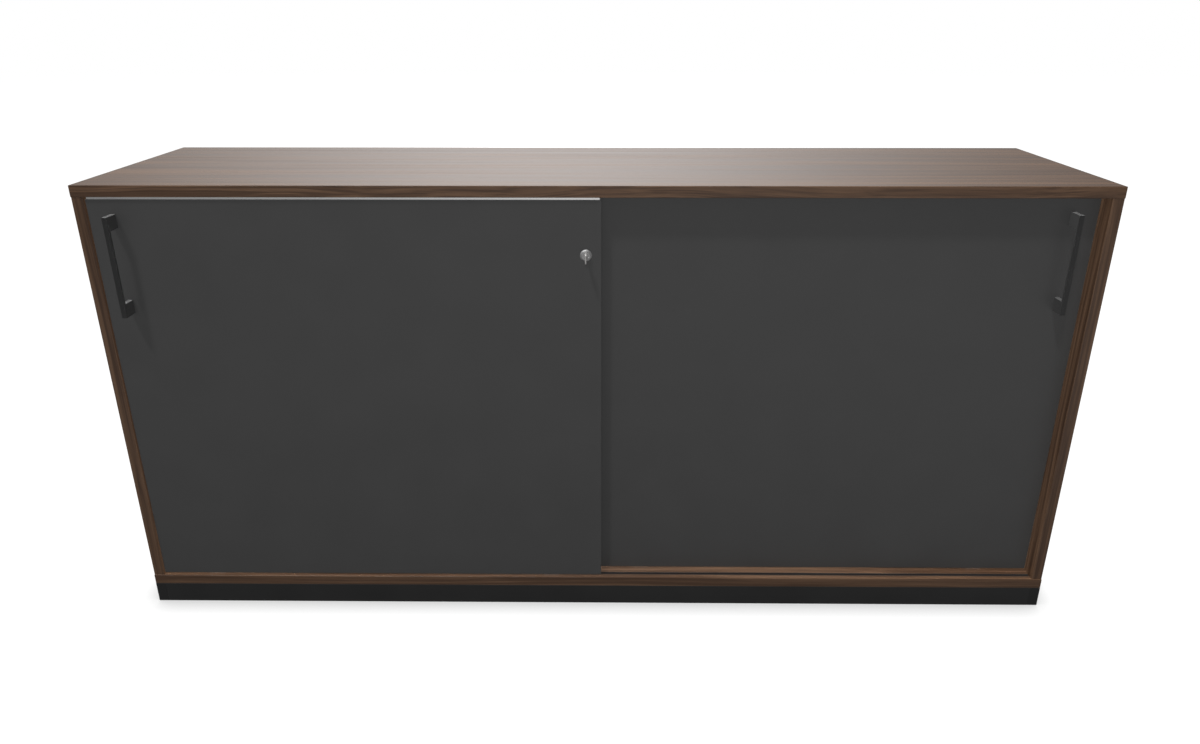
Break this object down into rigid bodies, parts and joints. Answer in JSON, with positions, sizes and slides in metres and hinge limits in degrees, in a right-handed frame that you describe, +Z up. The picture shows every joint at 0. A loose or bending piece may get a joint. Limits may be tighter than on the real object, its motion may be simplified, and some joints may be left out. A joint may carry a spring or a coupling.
{
  "type": "sliding door cabinet",
  "caption": "Low office cabinet: a boarded carcass on a plinth with shelves inside, and overlapping doors that slide on rollers, with bow handles and a push lock.",
  "frame": {"origin": "on the floor, under the middle of the carcass's width and depth", "axes": "+X to the right seen from the front, along the doors' travel; +Y to the back; +Z up"},
  "size_m": [1.6, 0.4245, 0.757],
  "materials": {
    "walnut_board": "walnut decor melamine, satin, grain along the board",
    "walnut_band": "walnut decor edge band, satin",
    "anthracite_board": "anthracite melamine, fine pearl, satin",
    "anthracite_band": "anthracite edge band, satin",
    "strip_metal": "bright drawn aluminium, satin",
    "black_board": "black laminated board, matt",
    "black_metal": "black powder coat, fine texture",
    "steel": "zinc plated steel",
    "lock_metal": "satin nickel",
    "key_metal": "nickel plated, lightly worn",
    "track_plastic": "dark brown extruded plastic",
    "light_plastic": "white acetal",
    "black_plastic": "black moulded plastic",
    "buffer_rubber": "soft grey rubber",
    "dowel_wood": "fluted beech"
  },
  "bodies": {
    "carcass": {"back_panel": "walnut_board", "bottom_panel": "walnut_board", "carcass_dowels": "dowel_wood", "centre_partition": "walnut_board", "door_buffers": "buffer_rubber", "front_lower_track": "track_plastic", "front_upper_track": "track_plastic", "horizontal_edge_bands": "walnut_band", "left_shelf": "walnut_board", "left_side_panel": "walnut_board", "leveller_housings": "black_plastic", "plinth_back": "black_board", "plinth_brace": "black_board", "plinth_ends": "black_board", "plinth_front": "black_board", "rear_lower_track": "track_plastic", "rear_upper_track": "track_plastic", "right_shelf": "walnut_board", "right_side_panel": "walnut_board", "shelf_pins": "steel", "top_panel": "walnut_board", "track_stops": "black_plastic", "upright_edge_bands": "walnut_band"},
    "front_door": {"front_door_edge_bands": "anthracite_band", "front_door_guide_sockets": "black_plastic", "front_door_guide_springs": "steel", "front_door_handle": "black_metal", "front_door_handle_screws": "steel", "front_door_head_strip": "strip_metal", "front_door_panel": "anthracite_board", "front_door_roller_axles": "steel", "front_door_roller_housings": "black_plastic", "lock_housing": "lock_metal", "lock_spring": "steel"},
    "rear_door": {"rear_door_edge_bands": "anthracite_band", "rear_door_guide_sockets": "black_plastic", "rear_door_guide_springs": "steel", "rear_door_handle": "black_metal", "rear_door_handle_screws": "steel", "rear_door_head_strip": "strip_metal", "rear_door_panel": "anthracite_board", "rear_door_roller_axles": "steel", "rear_door_roller_housings": "black_plastic", "strike_plate": "steel", "strike_screws": "steel"},
    "front_left_guide_pin": {"front_left_guide_pin": "light_plastic"},
    "front_left_leveller": {"front_left_leveller": "black_plastic"},
    "front_left_roller": {"front_left_roller": "light_plastic"},
    "front_right_guide_pin": {"front_right_guide_pin": "light_plastic"},
    "front_right_leveller": {"front_right_leveller": "black_plastic"},
    "front_right_roller": {"front_right_roller": "light_plastic"},
    "key": {"key": "key_metal"},
    "lock_barrel": {"lock_barrel": "lock_metal"},
    "lock_plug": {"lock_plug": "lock_metal"},
    "rear_left_guide_pin": {"rear_left_guide_pin": "light_plastic"},
    "rear_left_leveller": {"rear_left_leveller": "black_plastic"},
    "rear_left_roller": {"rear_left_roller": "light_plastic"},
    "rear_right_guide_pin": {"rear_right_guide_pin": "light_plastic"},
    "rear_right_leveller": {"rear_right_leveller": "black_plastic"},
    "rear_right_roller": {"rear_right_roller": "light_plastic"}
  },
  "joints": [
    {"name": "front_door_slide", "type": "slide", "parent": "carcass", "child": "front_door", "axis": [1, 0, 0], "range_m": [0, 0.725]},
    {"name": "rear_door_slide", "type": "slide", "parent": "carcass", "child": "rear_door", "axis": [1, 0, 0], "range_m": [-0.725, 0]},
    {"name": "front_left_roller_spin", "type": "hinge", "parent": "front_door", "child": "front_left_roller", "pos_m": [-0.691, -0.1865, 0.0623], "axis": [0, 1, 0], "continuous": true},
    {"name": "front_right_roller_spin", "type": "hinge", "parent": "front_door", "child": "front_right_roller", "pos_m": [-0.081, -0.1865, 0.0623], "axis": [0, 1, 0], "continuous": true},
    {"name": "rear_left_roller_spin", "type": "hinge", "parent": "rear_door", "child": "rear_left_roller", "pos_m": [0.081, -0.1605, 0.0623], "axis": [0, 1, 0], "continuous": true},
    {"name": "rear_right_roller_spin", "type": "hinge", "parent": "rear_door", "child": "rear_right_roller", "pos_m": [0.691, -0.1605, 0.0623], "axis": [0, 1, 0], "continuous": true},
    {"name": "front_left_guide_press", "type": "slide", "parent": "front_door", "child": "front_left_guide_pin", "axis": [0, 0, 1], "range_m": [-0.008, 0], "stiffness_N_per_m": 400, "springref_m": 0.01, "deforming": ["front_door_guide_springs"]},
    {"name": "front_right_guide_press", "type": "slide", "parent": "front_door", "child": "front_right_guide_pin", "axis": [0, 0, 1], "range_m": [-0.008, 0], "stiffness_N_per_m": 400, "springref_m": 0.01, "deforming": ["front_door_guide_springs"]},
    {"name": "rear_left_guide_press", "type": "slide", "parent": "rear_door", "child": "rear_left_guide_pin", "axis": [0, 0, 1], "range_m": [-0.008, 0], "stiffness_N_per_m": 400, "springref_m": 0.01, "deforming": ["rear_door_guide_springs"]},
    {"name": "rear_right_guide_press", "type": "slide", "parent": "rear_door", "child": "rear_right_guide_pin", "axis": [0, 0, 1], "range_m": [-0.008, 0], "stiffness_N_per_m": 400, "springref_m": 0.01, "deforming": ["rear_door_guide_springs"]},
    {"name": "lock_push", "type": "slide", "parent": "front_door", "child": "lock_barrel", "axis": [0, 1, 0], "range_m": [0, 0.006], "stiffness_N_per_m": 500, "springref_m": -0.004, "deforming": ["lock_spring"]},
    {"name": "lock_turn", "type": "hinge", "parent": "lock_barrel", "child": "lock_plug", "pos_m": [-0.0145, -0.1955, 0.6485], "axis": [0, 1, 0], "range_deg": [0, 90]},
    {"name": "key_pull", "type": "slide", "parent": "lock_plug", "child": "key", "axis": [0, -1, 0], "range_m": [0, 0.025]},
    {"name": "front_left_leveller_screw", "type": "slide", "parent": "carcass", "child": "front_left_leveller", "axis": [0, 0, -1], "range_m": [0, 0.01]},
    {"name": "front_right_leveller_screw", "type": "slide", "parent": "carcass", "child": "front_right_leveller", "axis": [0, 0, -1], "range_m": [0, 0.01]},
    {"name": "rear_left_leveller_screw", "type": "slide", "parent": "carcass", "child": "rear_left_leveller", "axis": [0, 0, -1], "range_m": [0, 0.01]},
    {"name": "rear_right_leveller_screw", "type": "slide", "parent": "carcass", "child": "rear_right_leveller", "axis": [0, 0, -1], "range_m": [0, 0.01]}
  ],
  "couplings": [
    {"joint": "front_left_roller_spin", "follows": "front_door_slide", "rad_per_m": 71.429},
    {"joint": "front_right_roller_spin", "follows": "front_door_slide", "rad_per_m": 71.429},
    {"joint": "rear_left_roller_spin", "follows": "rear_door_slide", "rad_per_m": 71.429},
    {"joint": "rear_right_roller_spin", "follows": "rear_door_slide", "rad_per_m": 71.429}
  ]
}
